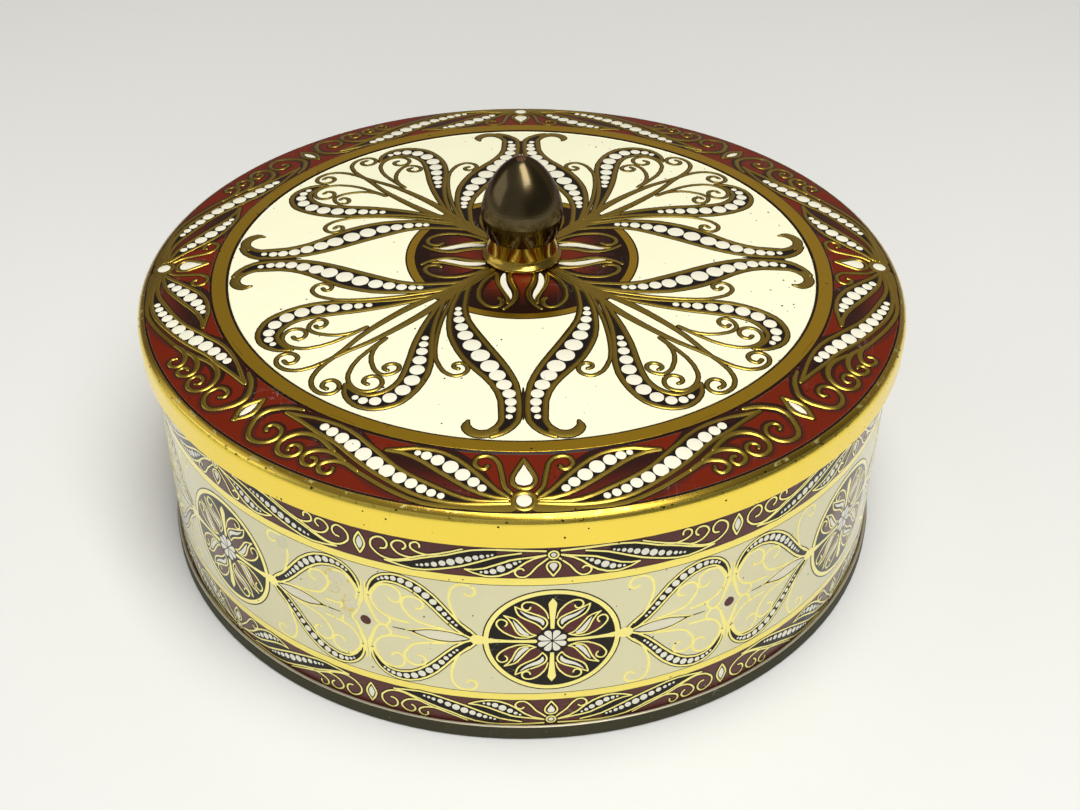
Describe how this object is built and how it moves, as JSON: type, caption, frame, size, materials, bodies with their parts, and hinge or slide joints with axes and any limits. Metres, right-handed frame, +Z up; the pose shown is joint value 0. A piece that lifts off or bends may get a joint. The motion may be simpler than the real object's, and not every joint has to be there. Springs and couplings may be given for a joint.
{
  "type": "decorative tin",
  "caption": "Round lidded tin with a crowned slip lid, an acorn knob and a printed scroll pattern, for keeping biscuits or sweets.",
  "frame": {"origin": "centre of the foot ring, on the surface that the tin stands on", "axes": "+Z up along the tin's axis; the side that the picture shows is towards -Y and the wall's lock seam is at +Y"},
  "size_m": [0.1529, 0.153, 0.0795],
  "materials": {
    "printed_wall": "gloss lacquer over print",
    "foot_plate": "worn dark lacquer",
    "printed_lid": "gloss lacquer over print",
    "knob_brass": "dark antique polish",
    "fixing_steel": "dull plated"
  },
  "bodies": {
    "tin": {"body_wall": "printed_wall", "base_plate": "foot_plate"},
    "lid": {"lid_shell": "printed_lid", "knob_cap": "knob_brass", "knob_collar": "knob_brass", "fixing_screw": "fixing_steel", "fixing_washer": "fixing_steel"}
  },
  "joints": [
    {"name": "lid_lift", "type": "slide", "parent": "tin", "child": "lid", "axis": [0, 0, 1], "range_m": [0, 0.1]}
  ]
}
